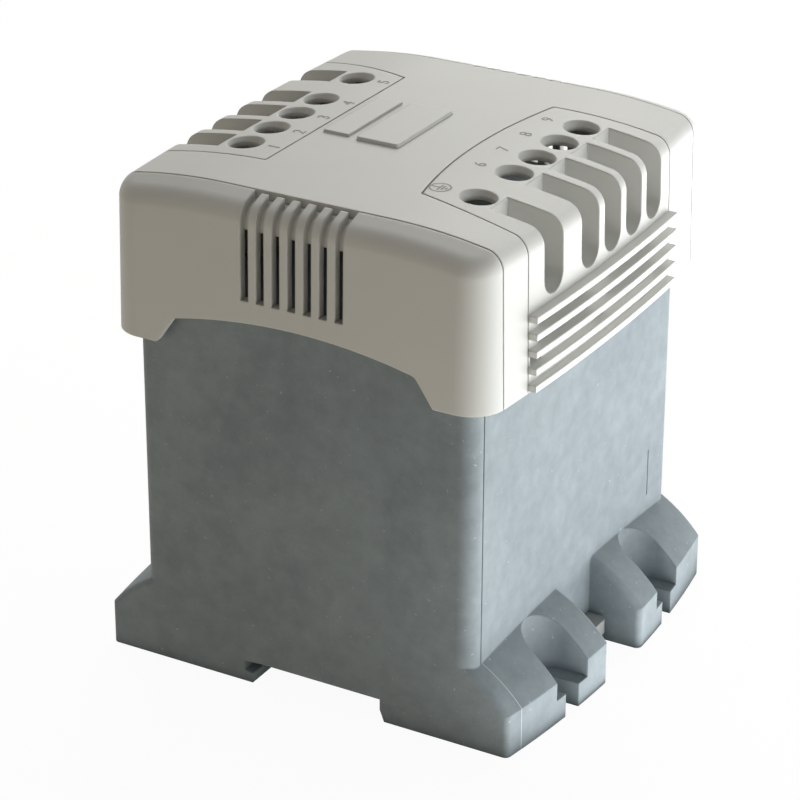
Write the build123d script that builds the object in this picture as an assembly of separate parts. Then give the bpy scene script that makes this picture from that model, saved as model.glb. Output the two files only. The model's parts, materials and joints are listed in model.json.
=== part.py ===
from build123d import *
import os
from math import asin, cos, degrees, radians, sin, sqrt

# Encapsulated control transformer with a snap-on terminal cover, for rail or panel mounting.
# Millimetres. Origin on the standing plane below the middle of the body, +Z up.
# The rail runs along Y, the terminals lie along the +X and -X sides.

# Driving sizes: moulded body
body_half_x = 42.3
body_half_y = 49.1
body_top = 95.0
body_corner_radius = 3.8
seam_y = 44.7
short_seam_y = 37.7
short_seam_low = 23.6
short_seam_high = 35.4
seam_width = 0.4
seam_depth = 0.3

# Driving sizes: feet
foot_reach = 13.4
foot_plan_radius = 286.0
foot_wall_height = 10.3
foot_rise = 10.7
foot_run = 14.4
foot_bulge = 1.6
foot_gap_half = 8.2
foot_edge_radius = 1.4
bolt_y = 24.3
bolt_offset = 6.4
bolt_slot_width = 5.4
pocket_width = 12.8
pocket_floor = 5.9

# Driving sizes: rail notch, for a 35 mm rail
rail_width = 35.0
rail_play = 0.2
rail_centre_x = 1.9
notch_depth = 5.45
hook_reach = 2.1
hook_lip = 2.4
notch_mouth = 1.1

# Driving sizes: rail latch in its channel
channel_half = 8.2
channel_mouth_half = 6.2
channel_lip = 2.3
channel_top = 6.6
latch_clearance = 0.3
latch_nose = 2.6
latch_travel = 3.4
latch_overhang = 4.9
latch_spring_x = 24.6
latch_spring_length = 11.0
latch_spring_radius = 1.55
latch_spring_wire = 0.5
latch_spring_turns = 7
latch_post = 2.2

# Driving sizes: cover
cover_half_x = 49.0
cover_half_y = 53.0
cover_side_radius = 600.0
cover_draft = 1.2
cover_corner_radius = 8.0
cover_skirt = 13.4
cover_rise = 24.0
cover_wall = 2.2
roof_flat_half = 20.0
roof_side_radius = 130.0
roof_edge_radius = 4.5
band_depth = 7.3
band_angle = 18.0
seam_gap = 0.36
lip_width = 2.4
lip_thickness = 1.3
lip_clearance = 0.15
post_radius = 3.0
post_inset_x = 13.0
post_inset_y = 5.3

# Driving sizes: arch in the end caps' lower edge
arch_half_foot = 34.4
arch_half_shoulder = 30.0
arch_shoulder_drop = 7.0
arch_crown_drop = 3.6

# Driving sizes: vents in the end caps
vent_count = 7
vent_pitch = 3.88
vent_width = 2.02
vent_rise = 1.0
vent_rib_gap = 0.7

# Driving sizes: terminal rows
pole_count = 5
pole_pitch = 10.6
pole_gap = 16.1
first_pole_y = -25.4
pole_x = 29.9
hole_radius = 3.6
hole_rim_radius = 4.15
hole_chamfer_depth = 1.3
entry_half = 4.0
entry_rise = 5.8
entry_inner_x = 34.6
entry_wall = 1.4
window_half = 3.1
window_rise = 0.3
window_height = 5.6

# Driving sizes: terminal cover borders
border_inner_x = 19.9
border_arc_mid_x = 15.3
border_arc_end_x = 18.9
border_near_y = 30.3
border_near_wall_y = 35.9
border_far_y = 30.2
border_far_wall_y = 31.8

# Driving sizes: louvre fins and the gaps behind them
fin_count = 5
fin_pitch = 3.94
fin_base = 0.5
fin_thickness = 1.55
fin_reach = 1.8
long_gap_spans = ((-32.0, -10.4), (-1.6, 20.4))
short_gap_middles = (-33.0, -5.2, 25.0)
short_gap_length = 4.4

# Driving sizes: plates on the roof
plate_width = 10.5
plate_length = 24.8
plate_height = 0.8
plate_middle = (-3.8, 2.4)
strip_width = 6.4
strip_length = 24.0
strip_height = 0.6
strip_middle = (-14.6, 2.7)
plate_recess = 0.5

# Driving sizes: core and coil
core_stack = 44.0
core_width = 84.0
core_leg = 28.0
core_yoke = 14.0
core_window = 42.0
core_floor = 11.0
bobbin_wall = 1.4
bobbin_flange = 1.5
bobbin_play = 0.2
coil_half_x = 35.8
coil_half_y = 27.7
winding_margin = 0.7
winding_split = 0.5

# Driving sizes: terminals
carrier_back_x = 22.6
carrier_floor = 4.4
carrier_wall = 1.3
carrier_height = 13.2
cage_length = 6.2
cage_width = 8.2
cage_wall = 1.2
cage_top_wall = 2.2
cage_wire_height = 5.6
cage_play = 0.2
strip_metal = 1.0
strip_play = 0.4
strip_metal_width = 5.0
screw_shank_radius = 1.9
screw_head_radius = 3.1
screw_head_height = 2.2
screw_slot = 0.9

# Worked out from the sizes above
foot_crown_x = body_half_x + foot_reach
bolt_x = body_half_x + bolt_offset
latch_end_x = body_half_x + latch_overhang
cover_bottom = body_top - cover_skirt
cover_top = body_top + cover_rise
band_y = cover_half_y - band_depth
post_x = cover_half_x - post_inset_x
post_y = band_y - post_inset_y
arch_shoulder = body_top - arch_shoulder_drop
arch_crown = body_top - arch_crown_drop
vent_bottom = body_top + vent_rise
entry_floor = body_top + entry_rise
above = cover_top + 20
notch_left = rail_centre_x - (rail_width + rail_play) / 2
notch_right = rail_centre_x + (rail_width + rail_play) / 2
hook_tip = notch_left + hook_reach
pole_steps = [0.0] + [pole_gap + pole_pitch * k for k in range(pole_count - 1)]
pole_ys = [first_pole_y + step for step in pole_steps]
core_top = core_floor + core_window + 2 * core_yoke
window_low = core_floor + core_yoke
window_high = window_low + core_window
entry_axis = entry_floor + entry_half
carrier_top = body_top + carrier_height
cage_bottom = body_top + carrier_floor
cage_x = pole_x - cage_length / 2
cage_height = cage_wall + cage_wire_height + strip_metal + strip_play + cage_top_wall
cage_top = cage_bottom + cage_height
strip_z = cage_bottom + cage_wall + cage_wire_height
latch_nose_x = notch_right - latch_nose


def write(solid, name):
    solid.label = name
    export_step(solid, f"parts/{name}.step")


def block(x0, x1, y0, y1, z0, z1):
    size = Box(x1 - x0, y1 - y0, z1 - z0)
    return Pos((x0 + x1) / 2, (y0 + y1) / 2, (z0 + z1) / 2) * size


def prism(plan, z0, z1, draft=0.0):
    return Pos(0, 0, z0) * extrude(plan, z1 - z0, taper=draft)


def turned(shape):
    return Rot(0, 0, 180) * shape


# Cover envelope: a plan with bowed sides, under a roof that falls away to the sides
def bowed_plan(crown, half_y, radius, corner):
    end_x = crown - radius + sqrt(radius**2 - half_y**2)
    right = ThreePointArc((end_x, -half_y), (crown, 0), (end_x, half_y))
    rear = Line((end_x, half_y), (-end_x, half_y))
    left = ThreePointArc((-end_x, half_y), (-crown, 0), (-end_x, -half_y))
    front = Line((-end_x, -half_y), (end_x, -half_y))
    face = make_face([right, rear, left, front])
    return fillet(face.vertices(), corner)


def roof_profile(inset, floor):
    top = cover_top - inset
    radius = roof_side_radius - inset
    reach = cover_half_x + 10
    angle = asin((reach - roof_flat_half) / radius)
    low = top - radius * (1 - cos(angle))
    mid_x = roof_flat_half + radius * sin(angle / 2)
    mid_z = top - radius * (1 - cos(angle / 2))
    right = ThreePointArc((roof_flat_half, top), (mid_x, mid_z), (reach, low))
    left = ThreePointArc((-roof_flat_half, top), (-mid_x, mid_z), (-reach, low))
    flat = Line((-roof_flat_half, top), (roof_flat_half, top))
    base = Polyline((reach, low), (reach, floor), (-reach, floor), (-reach, low))
    return make_face([left, flat, right, base])


def middle_block(inset):
    floor = cover_bottom - 1
    plan = bowed_plan(cover_half_x - inset, 90, cover_side_radius, 2)
    under_roof = extrude(Plane.XZ * roof_profile(inset, floor), band_y, both=True)
    solid = prism(plan, floor, cover_top + 5, cover_draft) & under_roof
    top_edges = solid.edges().filter_by(lambda e: e.length > band_y and e.center().Z > cover_bottom)
    side_edges = [e for e in top_edges if abs(e.center().X) > cover_half_x * 0.8]
    return fillet(side_edges, roof_edge_radius - inset * 0.6)


def end_block(inset):
    floor = cover_bottom - 1
    plan = bowed_plan(cover_half_x - inset, cover_half_y - inset, cover_side_radius,
                      cover_corner_radius - inset)
    fall = Vector(0, -cos(radians(band_angle)), -sin(radians(band_angle)))
    profile = Pos(0, -band_y, 0) * (Plane.XZ * roof_profile(inset, floor))
    under_roof = extrude(profile, 20, dir=fall)
    solid = prism(plan, floor, cover_top + 5, cover_draft) & under_roof
    limit = -band_y - 0.01
    top_edges = [e for e in solid.edges()
                 if e.center().Z > cover_top - 10 and e.bounding_box().min.Y < limit
                 and not e.is_closed]
    top_edges = [e for e in top_edges if e.bounding_box().size.Z < 8
                 and not on_crease(e)]
    return fillet(top_edges, roof_edge_radius - inset * 0.6)


def on_crease(edge):
    # The joints between the flat and the falling stretches of the roof run along Y
    box = edge.bounding_box()
    return box.size.X < 0.01 and abs(abs(box.min.X) - roof_flat_half) < 0.01


def front_half(y_limit):
    return block(-90, 90, -90, y_limit, 0, above)


# Terminal cover borders: straight on the primary side, bowed on the secondary side
def border_plan(grow, bowed):
    near = -border_near_y - grow
    far = border_far_y + grow
    near_wall = -border_near_wall_y - grow
    far_wall = border_far_wall_y + grow
    wall_x = cover_half_x + 12
    near_edge = ThreePointArc((border_end(bowed) - grow, near),
                              (cover_half_x * 0.66, near * 0.38 + near_wall * 0.62),
                              (wall_x, near_wall - 0.6))
    wall_edge = Line((wall_x, near_wall - 0.6), (wall_x, far_wall + 0.2))
    far_edge = Line((wall_x, far_wall + 0.2), (border_end(bowed) - grow, far))
    if bowed:
        inner = ThreePointArc((border_end(bowed) - grow, far),
                              (border_arc_mid_x - grow, 0),
                              (border_end(bowed) - grow, near))
    else:
        inner = Line((border_end(bowed) - grow, far), (border_end(bowed) - grow, near))
    return make_face([near_edge, wall_edge, far_edge, inner])


def border_end(bowed):
    return border_arc_end_x if bowed else border_inner_x


def border_prism(grow, bowed):
    return prism(border_plan(grow, bowed), cover_bottom - 10, cover_top + 10)


# Middle cover: roof spine and the four corner strips
def middle_cover():
    outer = middle_block(0)
    skin = outer - middle_block(cover_wall)
    skin -= block(-90, 90, -90, 90, 0, cover_bottom)
    skin = skin & block(-90, 90, -band_y + seam_gap / 2, band_y - seam_gap / 2, 0, above)
    hollow = middle_block(cover_wall + lip_clearance)
    root = middle_block(cover_wall * 0.7) - middle_block(cover_wall + lip_clearance + lip_thickness)
    tongue = hollow - middle_block(cover_wall + lip_clearance + lip_thickness)
    openings = border_prism(seam_gap / 2, True) + turned(border_prism(seam_gap / 2, False))
    skin -= openings
    for side in (False, True):
        outer_ring = border_prism(seam_gap / 2 + 1.6, side) - border_prism(-lip_width, side)
        inner_ring = border_prism(seam_gap / 2, side) - border_prism(-lip_width, side)
        ring = (root & (outer_ring - inner_ring)) + (tongue & inner_ring)
        ring = ring & block(-90, 90, -band_y + 1, band_y - 1, fin_gap(fin_count)[0], above)
        if not side:
            ring = turned(ring)
        skin += ring
    post = Cylinder(post_radius, 40, align=(Align.CENTER, Align.CENTER, Align.MIN))
    for sx in (-1, 1):
        for sy in (-1, 1):
            pillar = Pos(sx * post_x, sy * post_y, body_top) * post
            skin += pillar & middle_block(cover_wall * 0.5)
    strip = block(-strip_width / 2, strip_width / 2, -strip_length / 2, strip_length / 2,
                  cover_top - 1, cover_top + strip_height)
    skin += Pos(strip_middle[0], strip_middle[1], 0) * strip
    seat = block(-plate_width / 2 - 0.1, plate_width / 2 + 0.1, -plate_length / 2 - 0.1,
                 plate_length / 2 + 0.1, cover_top - plate_recess, cover_top + 5)
    skin -= Pos(plate_middle[0], plate_middle[1], 0) * seat
    return skin


def marker_plate():
    plate = block(-plate_width / 2, plate_width / 2, -plate_length / 2, plate_length / 2,
                  cover_top - plate_recess, cover_top + plate_height)
    plate = fillet(plate.edges().filter_by(Axis.Z), 0.5)
    return Pos(plate_middle[0], plate_middle[1], 0) * plate


# End cap: bowed corner shell with an arched lower edge and a comb of vents
def arch_cut():
    shoulder_rise = arch_shoulder - cover_bottom
    slope = (arch_half_foot - arch_half_shoulder) / shoulder_rise
    low = cover_bottom - 5
    low_half = arch_half_foot + slope * 5
    left = Line((-low_half, low), (-arch_half_shoulder, arch_shoulder))
    top = ThreePointArc((-arch_half_shoulder, arch_shoulder), (0, arch_crown),
                        (arch_half_shoulder, arch_shoulder))
    right = Line((arch_half_shoulder, arch_shoulder), (low_half, low))
    base = Line((low_half, low), (-low_half, low))
    face = make_face([left, top, right, base])
    shoulders = [v for v in face.vertices() if v.Y > arch_shoulder - 1]
    face = fillet(shoulders, 2.5)
    return Pos(0, -cover_half_y - 5, 0) * (Plane.XZ * extrude(face, -20))


def vent_cuts():
    first = -vent_pitch * (vent_count - 1) / 2
    slot = block(-vent_width / 2, vent_width / 2, -cover_half_y - 5, 0, vent_bottom, cover_top + 5)
    return [Pos(first + vent_pitch * k, 0, 0) * slot for k in range(vent_count)]


def end_cap():
    skin = end_block(0) - end_block(cover_wall)
    skin -= block(-90, 90, -90, 90, 0, cover_bottom)
    skin = skin & front_half(-band_y - seam_gap / 2)
    skin -= arch_cut()
    for cut in vent_cuts():
        skin -= cut
    half = (vent_pitch * (vent_count - 1) + vent_width) / 2
    inner = -band_y - seam_gap / 2
    skin -= block(-half, half, inner - vent_rib_gap, inner + 1, cover_top - 5, cover_top + 5)
    return skin


# Cap bridge: the bar behind the vents that ties the free ends of the ribs together
def cap_bridge():
    bar = end_block(cover_wall - 0.3) - end_block(cover_wall + lip_thickness)
    half = vent_pitch * (vent_count + 1) / 2
    window = block(-half, half, -cover_half_y, -band_y - seam_gap / 2, cover_top - 7.5, cover_top)
    return bar & window


# Terminal cover: screwdriver holes, wire entries, louvre fins
def terminal_cover(bowed):
    keep = border_prism(-seam_gap / 2, bowed)
    outer = middle_block(0)
    inner = middle_block(cover_wall)
    skin = (outer - inner) & keep
    skin -= block(-90, 90, -90, 90, 0, cover_bottom)
    fins = fin_stack() & keep
    skin += fins
    trough_top = cover_top + 5
    troughs = None
    for y in pole_ys:
        half = entry_half + entry_wall
        low = Pos(0, y, entry_axis) * (Rot(0, 90, 0) * Cylinder(
            half, cover_half_x, align=(Align.CENTER, Align.CENTER, Align.MIN)))
        wall = low + block(0, cover_half_x, y - half, y + half, entry_axis, trough_top)
        wall = wall & block(entry_inner_x - entry_wall, 90, -90, 90, 0, above)
        troughs = wall if troughs is None else troughs + wall
    skin += troughs & outer & keep
    for y in pole_ys:
        skin -= Pos(entry_inner_x, y, entry_axis) * (Rot(0, 90, 0) * Cylinder(
            entry_half, 40, align=(Align.CENTER, Align.CENTER, Align.MIN)))
        skin -= block(entry_inner_x, 90, y - entry_half, y + entry_half, entry_axis, trough_top)
        window_z = entry_floor + window_rise
        skin -= block(entry_inner_x - entry_wall - 1, entry_inner_x + 1, y - window_half,
                      y + window_half, window_z, window_z + window_height)
        skin -= Pos(pole_x, y, 0) * Cylinder(
            hole_radius, 200, align=(Align.CENTER, Align.CENTER, Align.MIN))
        roof = roof_height(pole_x)
        rim = Cone(hole_radius, hole_rim_radius + 0.6, hole_chamfer_depth + 1.0,
                   align=(Align.CENTER, Align.CENTER, Align.MIN))
        skin -= Pos(pole_x, y, roof - hole_chamfer_depth) * rim
    for cut in louvre_gaps():
        skin -= cut
    return skin


def roof_height(x):
    over = max(abs(x) - roof_flat_half, 0)
    return cover_top - roof_side_radius + sqrt(roof_side_radius**2 - over**2)


def fin_stack():
    crown = cover_half_x + fin_reach
    ring = bowed_plan(crown, 70, cover_side_radius, 1)
    ring -= bowed_plan(cover_half_x - cover_wall / 2, 70, cover_side_radius, 1)
    half = make_half(ring)
    stack = None
    for k in range(fin_count):
        low = cover_bottom + fin_base + fin_pitch * k
        fin = prism(half, low, low + fin_thickness)
        stack = fin if stack is None else stack + fin
    return stack


def make_half(plan):
    return plan & (Pos(50, 0) * Rectangle(100, 120))


def fin_gap(index):
    low = cover_bottom + fin_base + fin_pitch * index + fin_thickness
    return low, low + fin_pitch - fin_thickness


def louvre_gaps():
    cuts = []
    for row in (3, 2):
        low, high = fin_gap(row)
        for y0, y1 in long_gap_spans:
            cuts.append(block(cover_half_x - 8, 90, y0, y1, low + 0.15, high - 0.15))
    low, high = fin_gap(1)
    for middle in short_gap_middles:
        y0 = middle - short_gap_length / 2
        y1 = middle + short_gap_length / 2
        cuts.append(block(cover_half_x - 8, 90, y0, y1, low + 0.15, high - 0.15))
    return cuts


# Moulded body: the resin moulding that holds the core and the coil, with its feet
def foot_ring():
    run = foot_crown_x - foot_run
    top = foot_wall_height + foot_rise
    mid = (foot_crown_x - foot_run * 0.36, foot_wall_height + foot_rise * 0.49)
    inner = body_half_x - 10
    edges = [
        Line((inner, 0), (foot_crown_x, 0)),
        Line((foot_crown_x, 0), (foot_crown_x, foot_wall_height)),
        ThreePointArc((foot_crown_x, foot_wall_height), mid, (run, top)),
        Polyline((run, top), (inner, top), (inner, 0)),
    ]
    profile = Plane.XZ * make_face(edges)
    axis = Axis((foot_crown_x - foot_plan_radius, 0, 0), (0, 0, 1))
    swing = degrees(asin(body_half_y / foot_plan_radius)) + 2
    start = Pos(axis.position.X, 0, 0) * Rot(0, 0, -swing) * Pos(-axis.position.X, 0, 0) * profile
    return revolve(start, axis, 2 * swing)


def foot(sign):
    y0 = foot_gap_half if sign > 0 else -body_half_y
    y1 = body_half_y if sign > 0 else -foot_gap_half
    solid = foot_ring() & block(body_half_x - 8, 90, y0, y1, 0, 40)
    ends = [e for e in solid.edges() if e.bounding_box().size.Y < 0.01
            and e.bounding_box().max.X > body_half_x + 1 and e.bounding_box().max.Z > 1]
    solid = fillet(ends, foot_edge_radius)
    y = sign * bolt_y
    pocket = bolt_pocket(pocket_width / 2, body_half_x + pocket_width / 2, pocket_floor)
    slot = bolt_pocket(bolt_slot_width / 2, bolt_x, -1)
    return solid - Pos(0, y, 0) * (pocket + slot)


def bolt_pocket(half, centre_x, floor):
    round_end = Pos(centre_x, 0, floor) * Cylinder(
        half, 40, align=(Align.CENTER, Align.CENTER, Align.MIN))
    return round_end + block(centre_x, 90, -half, half, floor, floor + 40)


def rail_notch():
    tip = hook_tip
    depth = notch_depth
    points = [
        (tip, -1), (tip, hook_lip), (notch_left, hook_lip + 0.5), (notch_left, depth - 0.4),
        (notch_left + 4.3, depth), (notch_right, depth), (notch_right, hook_lip + 0.5),
        (notch_right + notch_mouth, 0), (notch_right + notch_mouth, -1),
    ]
    face = make_face(Polyline(*points, close=True))
    return Plane.XZ * extrude(face, 90, both=True)


def latch_channel():
    lip = block(notch_right - 4, 90, -channel_mouth_half, channel_mouth_half, -1, channel_lip + 0.1)
    wide = block(notch_right - 4, 90, -channel_half, channel_half, channel_lip, channel_top)
    return lip + wide


def latch_post_block():
    x0 = latch_spring_x + latch_spring_length
    return block(x0, x0 + latch_post, -3.2, 3.2, channel_lip + 0.6, channel_top + 1)


def coil_room():
    core = block(-core_stack / 2, core_stack / 2, -core_width / 2, core_width / 2,
                 core_floor, core_top)
    coil = block(-coil_half_x, coil_half_x, -coil_half_y, coil_half_y, window_low, window_high)
    return core + coil


def seam_cuts():
    depth = body_half_x - seam_depth
    long_seam = block(depth, 90, -seam_y - seam_width / 2, -seam_y + seam_width / 2, 15, body_top)
    short_seam = block(depth, 90, short_seam_y - seam_width / 2, short_seam_y + seam_width / 2,
                       short_seam_low, short_seam_high)
    return long_seam + short_seam


def snap_nose():
    low, high = fin_gap(1)
    nose = None
    for middle in short_gap_middles:
        half = short_gap_length / 2 - 1.0
        crown = bow_at(cover_half_x - cover_wall, middle)
        rib = block(body_half_x - 1, crown + 0.3, middle - half, middle + half,
                    low + 0.5, high - 0.5)
        nose = rib if nose is None else nose + rib
    return nose


def bow_at(crown, y):
    return crown - cover_side_radius + sqrt(cover_side_radius**2 - y**2)


def body_moulding():
    plan = RectangleRounded(2 * body_half_x, 2 * body_half_y, body_corner_radius)
    solid = prism(plan, 0, body_top)
    solid -= seam_cuts()
    solid -= turned(seam_cuts())
    side = foot(1) + foot(-1)
    solid += side
    solid += turned(side)
    solid -= rail_notch()
    solid -= latch_channel()
    solid += latch_post_block()
    solid -= coil_room()
    solid += snap_nose()
    solid += turned(snap_nose())
    for cut in tail_cuts():
        solid -= cut
    return solid


# Core: welded stacks of E and I laminations
def core_e_stack():
    back = block(-core_stack / 2, core_stack / 2, -core_width / 2, core_width / 2,
                 core_floor, window_low)
    solid = back
    outer_leg = core_leg / 2
    for y in (-core_width / 2, -core_leg / 2, core_width / 2 - outer_leg):
        width = core_leg if abs(y + core_leg / 2) < 0.01 else outer_leg
        solid += block(-core_stack / 2, core_stack / 2, y, y + width, window_low, window_high)
    return solid


def core_i_stack():
    return block(-core_stack / 2, core_stack / 2, -core_width / 2, core_width / 2,
                 window_high, core_top)


# Coil former: a rectangular tube with three flanges
def rounded_ring(half_x, half_y, corner, z0, z1):
    return prism(RectangleRounded(2 * half_x, 2 * half_y, corner), z0, z1)


def bobbin_tube_halves():
    half_x = core_stack / 2 + bobbin_play + bobbin_wall
    half_y = core_leg / 2 + bobbin_play + bobbin_wall
    return half_x, half_y


def bobbin():
    half_x, half_y = bobbin_tube_halves()
    solid = rounded_ring(half_x, half_y, 1.0, window_low, window_high)
    middle = (window_low + window_high) / 2
    levels = (window_low, middle - bobbin_flange / 2, window_high - bobbin_flange)
    for z in levels:
        solid += rounded_ring(coil_half_x, coil_half_y, 2.0, z, z + bobbin_flange)
    bore_x = core_stack / 2 + bobbin_play
    bore_y = core_leg / 2 + bobbin_play
    solid -= block(-bore_x, bore_x, -bore_y, bore_y, window_low - 1, window_high + 1)
    return solid


def winding(lower):
    middle = (window_low + window_high) / 2
    if lower:
        z0 = window_low + bobbin_flange
        z1 = middle - bobbin_flange / 2
    else:
        z0 = middle + bobbin_flange / 2
        z1 = window_high - bobbin_flange
    half_x, half_y = bobbin_tube_halves()
    solid = rounded_ring(coil_half_x - winding_margin, coil_half_y - winding_margin, 8.0, z0, z1)
    return solid - rounded_ring(half_x, half_y, 1.0, z0 - 1, z1 + 1)


# Terminals: carrier, clamp cages, screws and contact strips, drawn for the +X side
def tail_x():
    return cage_x - 1.6


def is_earth(bowed, k):
    return bowed and k == 0


def contact_strip(y, earth):
    half = strip_metal_width / 2
    floor = strip_z
    end = pole_x + cage_length / 2
    tail = tail_x()
    flat = block(tail, end, y - half, y + half, floor, floor + strip_metal)
    if earth:
        low = core_top
        foot_pad = block(core_stack / 2 - 5, tail + strip_metal, y - half, y + half,
                         low, low + strip_metal)
        return flat + block(tail, tail + strip_metal, y - half, y + half, low, floor + 0.5) + foot_pad
    return flat + block(tail, tail + strip_metal, y - half, y + half, window_high, floor + 0.5)


def tail_cuts():
    cuts = []
    for bowed in (True, False):
        for k, y in enumerate(pole_ys):
            strip = contact_strip(y, is_earth(bowed, k))
            cut = strip & block(-90, 90, -90, 90, 0, body_top + 1)
            cuts.append(cut if bowed else turned(cut))
    return cuts


def clamp_cage(y):
    half = cage_width / 2
    x0 = cage_x
    x1 = cage_x + cage_length
    solid = block(x0, x1, y - half, y + half, cage_bottom, cage_bottom + cage_height)
    inner = half - cage_wall
    roof = cage_bottom + cage_height - cage_top_wall
    solid -= block(x0 - 1, x1 + 1, y - inner, y + inner, cage_bottom + cage_wall, roof)
    solid = fillet(solid.edges().filter_by(Axis.X).group_by(Axis.Z)[-1], 0.6)
    bore = Pos(pole_x, y, roof - 1) * Cylinder(
        screw_shank_radius, 10, align=(Align.CENTER, Align.CENTER, Align.MIN))
    return solid - bore


def terminal_screw(y):
    top = cage_top
    tip = strip_z + strip_metal
    shank = Pos(pole_x, y, tip) * Cylinder(
        screw_shank_radius, top - tip, align=(Align.CENTER, Align.CENTER, Align.MIN))
    head = Pos(pole_x, y, top) * Cylinder(
        screw_head_radius, screw_head_height, align=(Align.CENTER, Align.CENTER, Align.MIN))
    head = chamfer(head.edges().group_by(Axis.Z)[-1], 0.3)
    slot_top = top + screw_head_height
    slot = block(pole_x - screw_slot / 2, pole_x + screw_slot / 2, y - 9, y + 9,
                 slot_top - 1.2, slot_top + 1)
    cross = block(pole_x - 1.9, pole_x + 1.9, y - screw_slot / 2, y + screw_slot / 2,
                  slot_top - 1.2, slot_top + 1)
    return shank + head - slot - cross


def terminal_carrier(bowed):
    x0 = carrier_back_x
    x1 = cage_x + cage_length - 1.2
    y0 = pole_ys[0] - cage_width / 2 - cage_play - carrier_wall
    y1 = pole_ys[-1] + cage_width / 2 + cage_play + carrier_wall
    solid = block(x0, x1, y0, y1, body_top, carrier_top)
    for k, y in enumerate(pole_ys):
        half = cage_width / 2 + cage_play
        solid -= block(cage_x - cage_play, 90, y - half, y + half, cage_bottom, carrier_top + 5)
        strip_half = strip_metal_width / 2
        solid -= block(tail_x(), cage_x, y - strip_half, y + strip_half, strip_z, carrier_top + 5)
        solid -= block(tail_x(), tail_x() + strip_metal, y - strip_half, y + strip_half,
                       body_top - 1, strip_z + 1)
    return solid


# Rail latch: a sprung slide in the channel between the feet
def rail_latch():
    clear = latch_clearance
    half = channel_half - clear
    mouth = channel_mouth_half - clear
    upper_low = channel_lip + clear
    upper_top = channel_top - clear
    start = notch_right + 0.9
    solid = block(start, latch_end_x, -half, half, upper_low, upper_top)
    solid += block(start, latch_end_x, -mouth, mouth, clear, upper_low + 0.1)
    nose_top = hook_lip + 0.5 + 0.5
    profile = make_face(Polyline((latch_nose_x, nose_top), (latch_nose_x, nose_top - 0.8),
                                 (start - 0.2, clear), (start + 2, clear),
                                 (start + 2, nose_top), close=True))
    nose = Plane.XZ * extrude(profile, mouth - 0.4, both=True)
    solid += nose
    stop = latch_spring_x + latch_spring_length + latch_post + clear
    window = block(latch_spring_x, stop, -3.6, 3.6, upper_low, channel_top + 1)
    solid -= window
    pull = block(latch_end_x - 4.0, latch_end_x - 2.2, -3.0, 3.0, -1, channel_top + 1)
    solid -= pull
    corners = solid.edges().filter_by(Axis.Z).group_by(Axis.X)[-1]
    return fillet(corners, 1.5)


def latch_spring():
    pitch = (latch_spring_length - latch_spring_wire) / latch_spring_turns
    middle_z = (channel_lip + channel_top) / 2
    turns = latch_spring_turns
    radius = latch_spring_radius - latch_spring_wire / 2
    path = Helix(pitch=pitch, height=pitch * turns, radius=radius)
    section = Plane(origin=path @ 0, z_dir=path % 0) * Circle(latch_spring_wire / 2)
    coil = sweep(section, path)
    return Pos(latch_spring_x + latch_spring_wire / 2, 0, middle_z) * (Rot(0, 90, 0) * coil)


def build():
    os.makedirs("parts", exist_ok=True)
    write(body_moulding(), "body_moulding")
    write(middle_cover(), "middle_cover")
    cap = end_cap() + cap_bridge()
    write(cap, "front_end_cap")
    write(turned(cap), "rear_end_cap")
    write(terminal_cover(True), "secondary_terminal_cover")
    write(turned(terminal_cover(False)), "primary_terminal_cover")
    write(marker_plate(), "marker_plate")
    write(core_e_stack(), "core_e_stack")
    write(core_i_stack(), "core_i_stack")
    write(bobbin(), "bobbin")
    write(winding(True), "primary_winding")
    write(winding(False), "secondary_winding")
    write(rail_latch(), "rail_latch")
    write(latch_spring(), "latch_spring")
    for bowed, side in ((True, "secondary"), (False, "primary")):
        carrier = terminal_carrier(bowed)
        write(carrier if bowed else turned(carrier), f"{side}_terminal_carrier")
        for k, y in enumerate(pole_ys):
            pieces = {
                "clamp": clamp_cage(y),
                "screw": terminal_screw(y),
                "contact": contact_strip(y, is_earth(bowed, k)),
            }
            for kind, piece in pieces.items():
                write(piece if bowed else turned(piece), f"{side}_{kind}_{k + 1}")


build()
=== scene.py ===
import json
import math

import bpy
from mathutils import Matrix, Vector

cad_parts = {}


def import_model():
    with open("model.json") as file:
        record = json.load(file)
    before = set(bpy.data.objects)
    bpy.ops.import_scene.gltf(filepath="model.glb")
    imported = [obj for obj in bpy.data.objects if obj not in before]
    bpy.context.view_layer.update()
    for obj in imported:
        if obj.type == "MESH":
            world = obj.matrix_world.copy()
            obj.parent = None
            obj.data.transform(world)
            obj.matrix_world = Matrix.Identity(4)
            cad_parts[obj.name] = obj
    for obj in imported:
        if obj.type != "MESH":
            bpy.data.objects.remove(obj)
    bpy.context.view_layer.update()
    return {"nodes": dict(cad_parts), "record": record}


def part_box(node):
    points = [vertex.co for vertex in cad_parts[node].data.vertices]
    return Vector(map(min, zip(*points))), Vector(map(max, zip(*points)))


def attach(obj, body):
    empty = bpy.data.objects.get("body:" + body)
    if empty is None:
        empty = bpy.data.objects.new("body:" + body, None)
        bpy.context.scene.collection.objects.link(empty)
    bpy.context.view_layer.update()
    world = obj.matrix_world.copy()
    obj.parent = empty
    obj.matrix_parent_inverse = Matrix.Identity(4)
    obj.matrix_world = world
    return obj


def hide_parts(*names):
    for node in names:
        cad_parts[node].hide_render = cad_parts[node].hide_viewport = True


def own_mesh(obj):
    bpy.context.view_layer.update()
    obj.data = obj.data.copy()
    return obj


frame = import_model()
nodes = frame["nodes"]

MM = 0.001

# Millimetres
mark_height = 119.03
mark_thickness = 0.015
number_size = 4.2
primary_number_x = -22.3
secondary_number_x = 21.6
earth_sign_x = 20.6
earth_sign_radius = 2.5
earth_sign_line = 0.19

# Metres, in the resin's own coordinates
foot_line_y = 0.0441
foot_line_half = 0.00011
foot_line_start_x = 0.0424

# The photograph is 800 pixels wide
photo_pixels = 800
sensor_width = 36.0


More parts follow.
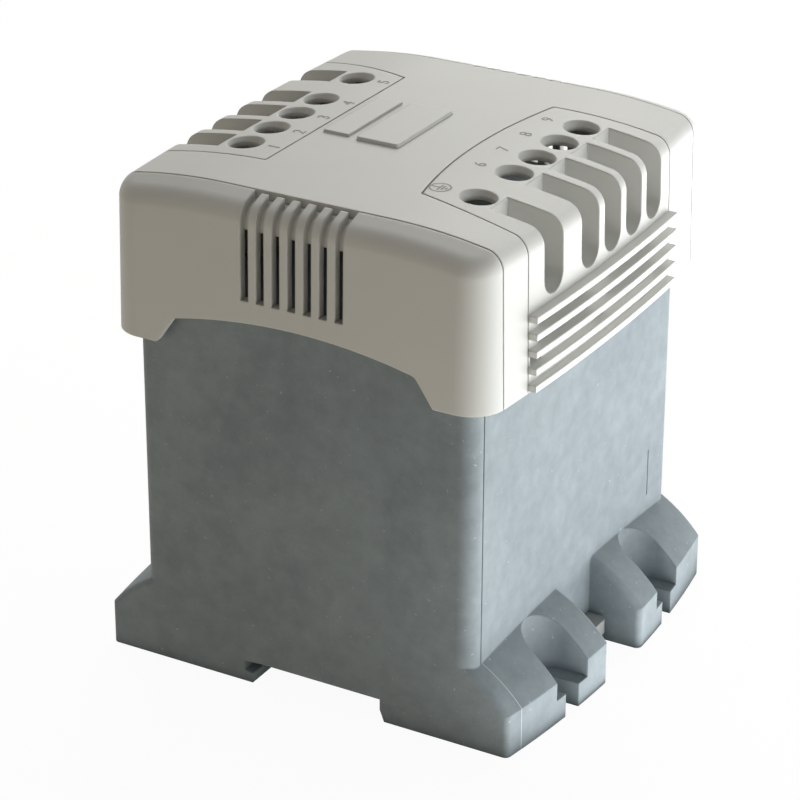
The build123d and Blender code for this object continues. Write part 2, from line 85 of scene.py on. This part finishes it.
def lin(r, g, b):
    def one(v):
        v = v / 255
        return v / 12.92 if v <= 0.04045 else ((v + 0.055) / 1.055) ** 2.4
    return (one(r), one(g), one(b), 1.0)


# Materials, all procedural
class Net:
    def __init__(self, name):
        self.mat = bpy.data.materials.new(name)
        self.mat.use_nodes = True
        self.tree = self.mat.node_tree
        self.tree.nodes.clear()
        self.out = self.add("ShaderNodeOutputMaterial")
        self.shader = self.add("ShaderNodeBsdfPrincipled")
        self.link(self.shader.outputs["BSDF"], self.out.inputs["Surface"])
        self.place = self.add("ShaderNodeTexCoord").outputs["Object"]

    def add(self, kind, **values):
        node = self.tree.nodes.new(kind)
        for key, value in values.items():
            setattr(node, key, value)
        return node

    def link(self, a, b):
        self.tree.links.new(a, b)

    def scaled(self, x, y, z):
        m = self.add("ShaderNodeMapping")
        m.inputs["Scale"].default_value = (x, y, z)
        self.link(self.place, m.inputs["Vector"])
        return m.outputs["Vector"]

    def noise(self, scale, detail=3.0, rough=0.5, vector=None, distortion=0.0):
        n = self.add("ShaderNodeTexNoise")
        n.inputs["Scale"].default_value = scale
        n.inputs["Detail"].default_value = detail
        n.inputs["Roughness"].default_value = rough
        n.inputs["Distortion"].default_value = distortion
        self.link(vector or self.place, n.inputs["Vector"])
        return n.outputs["Fac"]

    def ramp(self, fac, stops):
        r = self.add("ShaderNodeValToRGB")
        r.color_ramp.elements[0].position = stops[0][0]
        r.color_ramp.elements[0].color = stops[0][1]
        r.color_ramp.elements[1].position = stops[1][0]
        r.color_ramp.elements[1].color = stops[1][1]
        for position, colour in stops[2:]:
            e = r.color_ramp.elements.new(position)
            e.color = colour
        self.link(fac, r.inputs["Fac"])
        return r.outputs["Color"]

    def mix(self, fac, a, b, blend="MIX"):
        m = self.add("ShaderNodeMix", data_type="RGBA", blend_type=blend)
        for value, key in ((fac, "Factor"), (a, "A"), (b, "B")):
            sockets = [s for s in m.inputs if s.name == key and s.enabled]
            if isinstance(value, (int, float, tuple)):
                sockets[0].default_value = value
            else:
                self.link(value, sockets[0])
        return [s for s in m.outputs if s.name == "Result" and s.enabled][0]

    def bump(self, height, strength, distance, normal=None):
        b = self.add("ShaderNodeBump")
        b.inputs["Strength"].default_value = strength
        b.inputs["Distance"].default_value = distance
        self.link(height, b.inputs["Height"])
        if normal is not None:
            self.link(normal, b.inputs["Normal"])
        return b.outputs["Normal"]

    def maths(self, operation, a, b, c=None):
        m = self.add("ShaderNodeMath", operation=operation)
        for k, value in enumerate((a, b, c)):
            if value is None:
                continue
            if isinstance(value, (int, float)):
                m.inputs[k].default_value = value
            else:
                self.link(value, m.inputs[k])
        return m.outputs[0]

    # Fine mould line across the outer feet, on the right at -Y and on the left at +Y
    def foot_line(self, y, half, x):
        parts = self.add("ShaderNodeSeparateXYZ")
        self.link(self.place, parts.inputs[0])
        px, py, pz = parts.outputs
        right = self.maths("MULTIPLY", self.maths("COMPARE", py, -y, half),
                           self.maths("GREATER_THAN", px, x))
        left = self.maths("MULTIPLY", self.maths("COMPARE", py, y, half),
                          self.maths("LESS_THAN", px, -x))
        return self.maths("ADD", right, left)

    def round_edges(self, radius):
        b = self.add("ShaderNodeBevel", samples=6)
        b.inputs["Radius"].default_value = radius
        return b.outputs["Normal"]


def plain(name, colour, roughness, metallic=0.0, edge=0.0, grain=0.0):
    n = Net(name)
    n.shader.inputs["Base Color"].default_value = colour
    n.shader.inputs["Roughness"].default_value = roughness
    n.shader.inputs["Metallic"].default_value = metallic
    normal = n.round_edges(edge) if edge else None
    if grain:
        normal = n.bump(n.noise(900.0, 2.0), grain, 0.0002, normal)
    if normal is not None:
        n.link(normal, n.shader.inputs["Normal"])
    return n.mat


def cover_plastic():
    n = Net("cover_plastic")
    soft = n.noise(28.0, 3.0, 0.5)
    colour = n.ramp(soft, [(0.3, lin(211, 211, 207)), (0.75, lin(216, 216, 212))])
    n.link(colour, n.shader.inputs["Base Color"])
    n.shader.inputs["Roughness"].default_value = 0.46
    n.shader.inputs["Specular IOR Level"].default_value = 0.4
    normal = n.round_edges(0.0006)
    n.link(n.bump(n.noise(2600.0, 2.0), 0.12, 0.0001, normal), n.shader.inputs["Normal"])
    return n.mat


def cast_resin():
    n = Net("cast_resin")
    cloud = n.noise(34.0, 6.0, 0.6, distortion=0.8)
    streak = n.noise(46.0, 5.0, 0.62, n.scaled(1.0, 1.0, 2.6), distortion=1.2)
    base = n.ramp(cloud, [(0.30, lin(155, 166, 172)), (0.70, lin(171, 182, 187))])
    flow = n.ramp(streak, [(0.32, lin(118, 118, 117)), (0.68, lin(138, 138, 138))])
    colour = n.mix(0.30, base, flow, "OVERLAY")
    pale = n.ramp(n.noise(900.0, 3.0, 0.5), [(0.69, (0, 0, 0, 1)), (0.76, (1, 1, 1, 1))])
    colour = n.mix(pale, colour, lin(188, 197, 201))
    fine = n.ramp(n.noise(210.0, 5.0, 0.65), [(0.32, lin(98, 98, 98)), (0.68, lin(156, 156, 156))])
    colour = n.mix(0.35, colour, fine, "OVERLAY")
    line = n.foot_line(foot_line_y, foot_line_half, foot_line_start_x)
    colour = n.mix(line, colour, lin(190, 198, 201))
    n.link(colour, n.shader.inputs["Base Color"])
    n.shader.inputs["Roughness"].default_value = 0.6
    n.shader.inputs["Specular IOR Level"].default_value = 0.2
    normal = n.round_edges(0.0006)
    normal = n.bump(n.noise(150.0, 5.0, 0.6), 0.14, 0.0004, normal)
    normal = n.bump(n.noise(1500.0, 2.0), 0.12, 0.0001, normal)
    normal = n.bump(line, 0.35, 0.0002, normal)
    n.link(normal, n.shader.inputs["Normal"])
    return n.mat


def lamination():
    n = Net("core_steel")
    w = n.add("ShaderNodeTexWave", wave_type="BANDS", bands_direction="X")
    w.inputs["Scale"].default_value = 320.0
    n.link(n.place, w.inputs["Vector"])
    n.link(n.ramp(w.outputs["Fac"], [(0.2, lin(70, 70, 74)), (0.5, lin(112, 112, 116))]),
           n.shader.inputs["Base Color"])
    n.shader.inputs["Metallic"].default_value = 0.8
    n.shader.inputs["Roughness"].default_value = 0.45
    return n.mat


def winding(name, colour):
    n = Net(name)
    w = n.add("ShaderNodeTexWave", wave_type="BANDS", bands_direction="Z")
    w.inputs["Scale"].default_value = 420.0
    n.link(n.place, w.inputs["Vector"])
    n.shader.inputs["Base Color"].default_value = colour
    n.shader.inputs["Metallic"].default_value = 0.7
    n.shader.inputs["Roughness"].default_value = 0.35
    n.link(n.bump(w.outputs["Fac"], 0.6, 0.0004), n.shader.inputs["Normal"])
    return n.mat


mats = {
    "cover_plastic": cover_plastic(),
    "cast_resin": cast_resin(),
    "carrier_plastic": plain("carrier_plastic", lin(190, 190, 185), 0.5, edge=0.0002),
    "core_steel": lamination(),
    "former_nylon": plain("former_nylon", lin(222, 218, 200), 0.45, edge=0.0003),
    "enamelled_copper": winding("enamelled_copper", lin(176, 98, 48)),
    "clamp_steel": plain("clamp_steel", lin(104, 103, 98), 0.75, 0.7, edge=0.0002),
    "tinned_copper": plain("tinned_copper", lin(130, 128, 120), 0.7, 0.8, edge=0.0001),
    "latch_plastic": plain("latch_plastic", lin(176, 178, 176), 0.5, edge=0.0004, grain=0.1),
    "spring_steel": plain("spring_steel", lin(160, 160, 162), 0.3, 1.0),
}
ink = plain("marking_ink", lin(152, 147, 138), 0.6)

slots = {row["node"]: row["material_slot"] for row in frame["record"]["subparts"]}
for name, obj in nodes.items():
    obj.data.materials.clear()
    obj.data.materials.append(mats[slots[name]])


# Latch spring, a copy of its part with its own mesh, attached to the housing in its place
spring = bpy.data.objects.new("latch_coil", nodes["latch_spring"].data.copy())
bpy.context.scene.collection.objects.link(spring)
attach(spring, "housing")
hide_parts("latch_spring")
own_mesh(spring)


# Terminal numbers and the earth sign beside the screwdriver holes
def lettering(text, name, x, y, z, size):
    curve = bpy.data.curves.new(name, "FONT")
    curve.body = text
    curve.size = size * MM
    curve.align_x = "CENTER"
    curve.align_y = "CENTER"
    curve.extrude = mark_thickness * MM
    curve.resolution_u = 4
    source = bpy.data.objects.new(name + "_curve", curve)
    bpy.context.scene.collection.objects.link(source)
    depsgraph = bpy.context.evaluated_depsgraph_get()
    mesh = bpy.data.meshes.new_from_object(source.evaluated_get(depsgraph))
    bpy.data.objects.remove(source)
    return flat_mark(mesh, name, x, y, z)


def flat_mark(mesh, name, x, y, z):
    mesh.name = name
    turn = Matrix.Rotation(math.pi / 2, 4, "Z")
    mesh.transform(Matrix.Translation(Vector((x, y, z)) * MM) @ turn)
    mesh.materials.clear()
    mesh.materials.append(ink)
    obj = bpy.data.objects.new(name, mesh)
    bpy.context.scene.collection.objects.link(obj)
    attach(obj, "housing")
    return obj


def earth_sign(name, x, y, z, radius):
    line = earth_sign_line
    verts = []
    faces = []
    steps = 48
    for k in range(steps):
        a = 2 * math.pi * k / steps
        for r in (radius, radius - 2 * line):
            verts.append((r * math.cos(a) * MM, r * math.sin(a) * MM, 0))
    for k in range(steps):
        a, b = 2 * k, 2 * ((k + 1) % steps)
        faces.append((a, b, b + 1, a + 1))
    bars = [(-line, line, 0.0, radius - line)]
    bars += [(-0.62 * radius, 0.62 * radius, -line, line)]
    bars += [(-0.42 * radius, 0.42 * radius, -0.3 * radius - line, -0.3 * radius + line)]
    bars += [(-0.2 * radius, 0.2 * radius, -0.6 * radius - line, -0.6 * radius + line)]
    for x0, x1, y0, y1 in bars:
        first = len(verts)
        verts += [(u * MM, v * MM, 0.00001) for u, v in ((x0, y0), (x1, y0), (x1, y1), (x0, y1))]
        faces.append((first, first + 1, first + 2, first + 3))
    mesh = bpy.data.meshes.new(name)
    mesh.from_pydata(verts, [], faces)
    return flat_mark(mesh, name, x, y, z)


def screw_y(name):
    low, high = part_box(name)
    return (low[1] + high[1]) / 2 / MM


# The secondary row starts with the earth terminal, and the numbers run on from the primary row
for k in range(5):
    lettering(str(5 - k), "primary_number_%d" % (5 - k), primary_number_x,
              screw_y("primary_screw_%d" % (k + 1)), mark_height, number_size)
    if k:
        lettering(str(k + 5), "secondary_number_%d" % (k + 5), secondary_number_x,
                  screw_y("secondary_screw_%d" % (k + 1)), mark_height, number_size)
earth_sign("earth_sign", earth_sign_x, screw_y("secondary_screw_1"), mark_height,
           earth_sign_radius)


# Camera at the photograph's angle
def camera(azimuth, elevation, roll, focal_px, tx, ty, distance):
    back = Vector((math.sin(azimuth) * math.cos(elevation),
                   -math.cos(azimuth) * math.cos(elevation), math.sin(elevation)))
    right = Vector((math.cos(azimuth), math.sin(azimuth), 0))
    up = back.cross(right)
    r = right * math.cos(roll) + up * math.sin(roll)
    u = up * math.cos(roll) - right * math.sin(roll)
    place = (back * distance - r * tx - u * ty) * MM
    data = bpy.data.cameras.new("camera")
    data.sensor_width = sensor_width
    data.lens = focal_px / photo_pixels * sensor_width
    data.clip_start = 0.01
    data.clip_end = 50.0
    cam = bpy.data.objects.new("camera", data)
    bpy.context.scene.collection.objects.link(cam)
    cam.matrix_world = Matrix(((r.x, u.x, back.x, place.x), (r.y, u.y, back.y, place.y),
                               (r.z, u.z, back.z, place.z), (0, 0, 0, 1)))
    bpy.context.scene.camera = cam


camera(azimuth=math.radians(29.63), elevation=math.radians(25.49), roll=math.radians(0.177),
       focal_px=3159.2, tx=2.87, ty=-48.60, distance=747.61)


# Studio: place, target and size in metres, power in watts
def lamp(name, place, target, size, power, colour):
    data = bpy.data.lights.new(name, "AREA")
    data.shape = "RECTANGLE"
    data.size, data.size_y = size
    data.energy = power
    data.color = colour
    obj = bpy.data.objects.new(name, data)
    obj.location = place
    obj.rotation_euler = (Vector(target) - Vector(place)).to_track_quat("-Z", "Y").to_euler()
    obj.visible_camera = False
    bpy.context.scene.collection.objects.link(obj)


lamp("key", (1.4, 0.15, 0.30), (0, 0, 0.08), (1.3, 0.6), 8.4, (0.95, 0.985, 1.0))
lamp("table", (0.5815, 0.525, 0.0003), (0.5815, 0.525, 1.0), (1.05, 1.25), 10.8, (0.96, 0.985, 1.0))
lamp("near_table", (-0.1, -0.451, 0.0003), (-0.1, -0.451, 1.0), (1.2, 0.8), 0.8, (1.0, 0.89, 0.70))
lamp("back", (-0.05, 0.50, 0.47), (0, 0, 0.1), (0.5, 0.4), 2.0, (1.0, 1.0, 0.97))
lamp("top", (-0.3, 0.2, 1.1), (0, 0, 0.1), (0.6, 0.6), 2.0, (1.0, 1.0, 0.98))
lamp("front", (-0.6, -1.6, 0.5), (0, 0, 0.05), (1.2, 0.6), 1.7, (1.0, 0.87, 0.66))


def world():
    w = bpy.data.worlds.new("studio")
    bpy.context.scene.world = w
    w.use_nodes = True
    t = w.node_tree
    t.nodes.clear()
    out = t.nodes.new("ShaderNodeOutputWorld")
    mix = t.nodes.new("ShaderNodeMixShader")
    seen = t.nodes.new("ShaderNodeBackground")
    seen.inputs["Color"].default_value = (1, 1, 1, 1)
    seen.inputs["Strength"].default_value = 1.0
    light = t.nodes.new("ShaderNodeBackground")
    light.inputs["Color"].default_value = (1.0, 0.94, 0.82, 1)
    light.inputs["Strength"].default_value = 0.09
    path = t.nodes.new("ShaderNodeLightPath")
    some = t.nodes.new("ShaderNodeMath")
    some.operation = "ADD"
    every = t.nodes.new("ShaderNodeMath")
    every.operation = "ADD"
    t.links.new(path.outputs["Is Camera Ray"], some.inputs[0])
    t.links.new(path.outputs["Is Glossy Ray"], some.inputs[1])
    t.links.new(some.outputs[0], every.inputs[0])
    t.links.new(path.outputs["Is Transmission Ray"], every.inputs[1])
    t.links.new(every.outputs[0], mix.inputs["Fac"])
    t.links.new(light.outputs["Background"], mix.inputs[1])
    t.links.new(seen.outputs["Background"], mix.inputs[2])
    t.links.new(mix.outputs["Shader"], out.inputs["Surface"])


world()


def floor():
    bpy.ops.mesh.primitive_plane_add(size=40, location=(0, 0, -0.00005))
    obj = bpy.context.object
    obj.name = "floor"
    n = Net("floor")
    n.shader.inputs["Base Color"].default_value = lin(196, 194, 190)
    n.shader.inputs["Roughness"].default_value = 0.9
    glow = n.add("ShaderNodeEmission")
    glow.inputs["Color"].default_value = (1, 1, 1, 1)
    glow.inputs["Strength"].default_value = 1.1
    mix = n.add("ShaderNodeMixShader")
    path = n.add("ShaderNodeLightPath")
    seen = n.maths("ADD", path.outputs["Is Camera Ray"], path.outputs["Is Glossy Ray"])
    seen = n.maths("ADD", seen, path.outputs["Is Transmission Ray"])
    n.link(n.maths("MULTIPLY", seen, 0.86), mix.inputs["Fac"])
    n.link(n.shader.outputs["BSDF"], mix.inputs[1])
    n.link(glow.outputs["Emission"], mix.inputs[2])
    n.link(mix.outputs["Shader"], n.out.inputs["Surface"])
    obj.data.materials.append(n.mat)


floor()

bpy.context.scene.view_settings.view_transform = "Standard"
